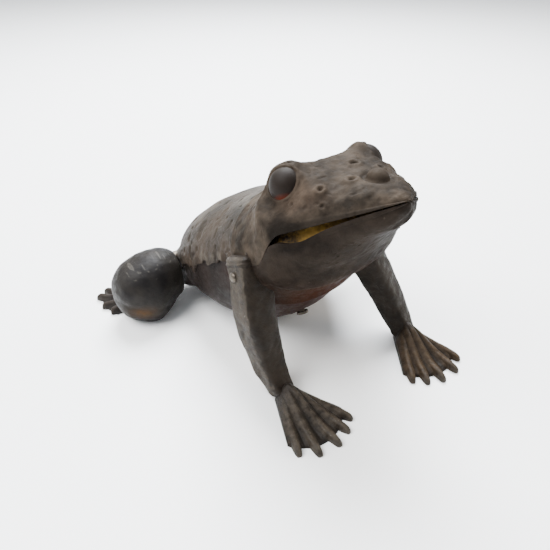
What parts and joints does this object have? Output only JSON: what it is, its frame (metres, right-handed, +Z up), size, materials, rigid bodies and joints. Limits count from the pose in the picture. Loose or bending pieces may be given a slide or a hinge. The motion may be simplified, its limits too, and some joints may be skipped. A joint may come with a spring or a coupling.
{
  "type": "clockwork jumping frog toy",
  "caption": "Seated pressed-metal frog with a winding key, a clockwork train inside and hinged hind legs that kick.",
  "frame": {"origin": "on the ground under the middle of the frog's footprint", "axes": "+X to the frog's left, +Y to its rear, +Z up; it faces -Y"},
  "size_m": [0.1354, 0.1264, 0.0795],
  "materials": {
    "patina": "dark brown-black lacquer over pressed sheet, dull and worn",
    "warm_patina": "the same lacquer, thinner and browner under the chin",
    "rust_patina": "lacquer rubbed to red-brown on the belly",
    "leg_patina": "dark lacquer with olive and ochre showing on the ridges",
    "ochre_paint": "matt ochre paint",
    "eye_glass": "polished dark brown glass",
    "plate_steel": "plain bright steel gone a little dull",
    "key_steel": "pressed steel, worn and darkened",
    "spring_steel": "blued spring steel",
    "wheel_brass": "stamped brass"
  },
  "bodies": {
    "body": {"back_shell": "patina", "belly_shell": "rust_patina", "head_shell": "patina", "jaw_shell": "warm_patina", "mouth_plate": "ochre_paint", "right_eye": "eye_glass", "left_eye": "eye_glass", "right_foreleg": "leg_patina", "left_foreleg": "leg_patina", "shoulder_rivets": "leg_patina", "right_motor_plate": "plate_steel", "left_motor_plate": "plate_steel", "pillars": "plate_steel", "pillar_nuts": "wheel_brass", "mount_bars": "plate_steel", "belly_screws": "plate_steel", "mainspring": "spring_steel", "return_spring": "spring_steel", "hip_bushes": "wheel_brass"},
    "winding": {"winding_arbor": "plate_steel", "ratchet_wheel": "wheel_brass", "key_hub": "key_steel", "key_bow": "key_steel"},
    "great": {"great_wheel": "wheel_brass", "click_rivet": "plate_steel", "click_spring": "spring_steel"},
    "click": {"click": "plate_steel"},
    "second": {"second_arbor": "plate_steel", "second_wheel": "wheel_brass"},
    "cam": {"cam_arbor": "plate_steel", "cam_wheel": "wheel_brass", "kick_cam": "plate_steel"},
    "fly": {"fly_arbor": "plate_steel", "fly_vane": "plate_steel"},
    "legs": {"hip_axle": "plate_steel", "kick_lever": "plate_steel", "right_thigh": "leg_patina", "left_thigh": "leg_patina", "right_thigh_plate": "leg_patina", "left_thigh_plate": "leg_patina", "right_hind_foot": "leg_patina", "left_hind_foot": "leg_patina", "hip_nuts": "plate_steel"}
  },
  "joints": [
    {"name": "key_wind", "type": "hinge", "parent": "body", "child": "winding", "pos_m": [0, 0.01148, 0.02432], "axis": [1, 0, 0], "continuous": true, "deforming": ["mainspring"]},
    {"name": "cam_turn", "type": "hinge", "parent": "body", "child": "cam", "pos_m": [0, 0.03087, 0.0179], "axis": [1, 0, 0], "continuous": true},
    {"name": "great_turn", "type": "hinge", "parent": "body", "child": "great", "pos_m": [0, 0.01148, 0.02432], "axis": [1, 0, 0], "continuous": true},
    {"name": "click_lift", "type": "hinge", "parent": "great", "child": "click", "pos_m": [0, 0.01429, 0.03164], "axis": [1, 0, 0], "range_deg": [0, 10], "stiffness_Nm_per_rad": 0.0005, "springref_deg": -11.46},
    {"name": "second_turn", "type": "hinge", "parent": "body", "child": "second", "pos_m": [0, 0.02519, 0.02904], "axis": [1, 0, 0], "continuous": true},
    {"name": "fly_turn", "type": "hinge", "parent": "body", "child": "fly", "pos_m": [0, 0.02825, 0.00877], "axis": [1, 0, 0], "continuous": true},
    {"name": "legs_kick", "type": "hinge", "parent": "body", "child": "legs", "pos_m": [0, 0.04411, 0.01825], "axis": [-1, 0, 0], "range_deg": [0, 20], "stiffness_Nm_per_rad": 0.05, "springref_deg": -20.05, "deforming": ["return_spring"]}
  ],
  "couplings": [
    {"joint": "great_turn", "follows": "cam_turn", "ratio": 0.052083},
    {"joint": "second_turn", "follows": "cam_turn", "ratio": -0.25},
    {"joint": "fly_turn", "follows": "cam_turn", "ratio": -3.75}
  ]
}
